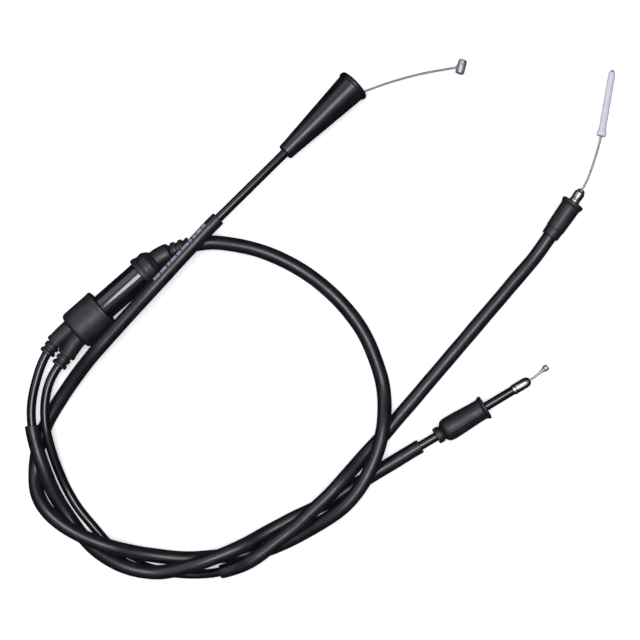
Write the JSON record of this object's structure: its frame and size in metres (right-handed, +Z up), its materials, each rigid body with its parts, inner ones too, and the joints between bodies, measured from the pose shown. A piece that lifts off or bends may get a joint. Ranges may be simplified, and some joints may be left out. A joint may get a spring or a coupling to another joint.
{
  "type": "motorcycle throttle cable with one-into-two splitter",
  "caption": "Coiled black throttle control cable: a splitter joins one grip cable to a carburettor cable and an oil pump cable, with rubber boots and metal end fittings.",
  "frame": {"origin": "middle of the footprint of the coiled cable, on the floor it rests on", "axes": "+Z up from the floor, +X along the longest side of the coil, +Y from the coil towards the grip end and carburettor end"},
  "size_m": [0.3888, 0.345, 0.0265],
  "materials": {
    "gloss_black_plastic": "glossy",
    "black_sleeve": "satin",
    "black_rubber": "matte",
    "white_nylon": "satin",
    "white_liner": "satin",
    "clear_guide": "translucent, glossy",
    "wire_steel": "stranded",
    "coil_steel": "wound flat wire",
    "zinc_nipple": "cast, matte",
    "chrome": "polished",
    "nickel_brass": "plated, satin"
  },
  "bodies": {
    "casing": {"grip_ferrule": "nickel_brass", "grip_jacket": "gloss_black_plastic", "grip_coil": "coil_steel", "grip_liner": "white_liner", "grip_wire_run": "wire_steel", "grip_sleeve": "black_sleeve", "splitter_body": "gloss_black_plastic", "splitter_end_plug": "white_nylon", "splitter_top_plug": "white_nylon", "splitter_bottom_boot": "black_rubber", "splitter_top_boot": "black_rubber", "splitter_grip_ferrule": "nickel_brass", "splitter_carb_ferrule": "nickel_brass", "splitter_pump_ferrule": "nickel_brass", "carb_jacket": "gloss_black_plastic", "carb_coil": "coil_steel", "carb_liner": "white_liner", "carb_wire_run": "wire_steel", "carb_sleeve": "black_sleeve", "carb_ferrule": "nickel_brass", "pump_jacket": "gloss_black_plastic", "pump_coil": "coil_steel", "pump_liner": "white_liner", "pump_wire_run": "wire_steel", "pump_sleeve": "black_sleeve", "pump_ferrule": "chrome"},
    "slider": {"splitter_slider": "white_nylon", "slider_grip_nipple": "zinc_nipple", "slider_grip_wire": "wire_steel", "slider_carb_nipple": "zinc_nipple", "slider_carb_wire": "wire_steel", "slider_pump_nipple": "zinc_nipple", "slider_pump_wire": "wire_steel"},
    "grip_tail": {"grip_wire_tail": "wire_steel"},
    "grip_end": {"grip_wire": "wire_steel", "grip_nipple": "zinc_nipple"},
    "grip_cover": {"grip_cover": "gloss_black_plastic"},
    "carb_end": {"carb_wire": "wire_steel", "carb_wire_guide": "clear_guide", "carb_nipple": "zinc_nipple"},
    "carb_boot": {"carb_boot": "black_rubber"},
    "pump_end": {"pump_wire": "wire_steel", "pump_nipple": "zinc_nipple"},
    "pump_boot": {"pump_boot": "black_rubber"}
  },
  "joints": [
    {"name": "throttle_pull", "type": "slide", "parent": "casing", "child": "slider", "axis": [0.7513, 0.66, 0], "range_m": [-0.024, 0.004]},
    {"name": "grip_wire_pull", "type": "slide", "parent": "casing", "child": "grip_tail", "axis": [0.7049, 0.7049, -0.0785], "range_m": [-0.024, 0.004]},
    {"name": "grip_wire_flex", "type": "hinge", "parent": "grip_tail", "child": "grip_end", "pos_m": [0.00719, 0.13971, 0.01303], "axis": [0, 0, 1], "range_deg": [-3, 17]},
    {"name": "carb_wire_pull", "type": "slide", "parent": "casing", "child": "carb_end", "axis": [-0.5648, -0.8218, -0.075], "range_m": [-0.024, 0.004]},
    {"name": "pump_wire_pull", "type": "slide", "parent": "casing", "child": "pump_end", "axis": [-0.8551, -0.5178, -0.0262], "range_m": [-0.024, 0.004]},
    {"name": "grip_cover_slide", "type": "slide", "parent": "casing", "child": "grip_cover", "axis": [-0.7049, -0.7049, 0.0785], "range_m": [0, 0.058]},
    {"name": "carb_boot_slide", "type": "slide", "parent": "casing", "child": "carb_boot", "axis": [-0.5648, -0.8218, -0.075], "range_m": [0, 0.008]},
    {"name": "pump_boot_slide", "type": "slide", "parent": "casing", "child": "pump_boot", "axis": [0.8551, 0.5178, 0.0262], "range_m": [-0.008, 0.018]}
  ],
  "couplings": [
    {"joint": "grip_wire_pull", "follows": "throttle_pull", "ratio": 1},
    {"joint": "carb_wire_pull", "follows": "throttle_pull", "ratio": 1},
    {"joint": "pump_wire_pull", "follows": "throttle_pull", "ratio": 1},
    {"joint": "grip_wire_flex", "follows": "throttle_pull", "rad_per_m": -12.217}
  ]
}
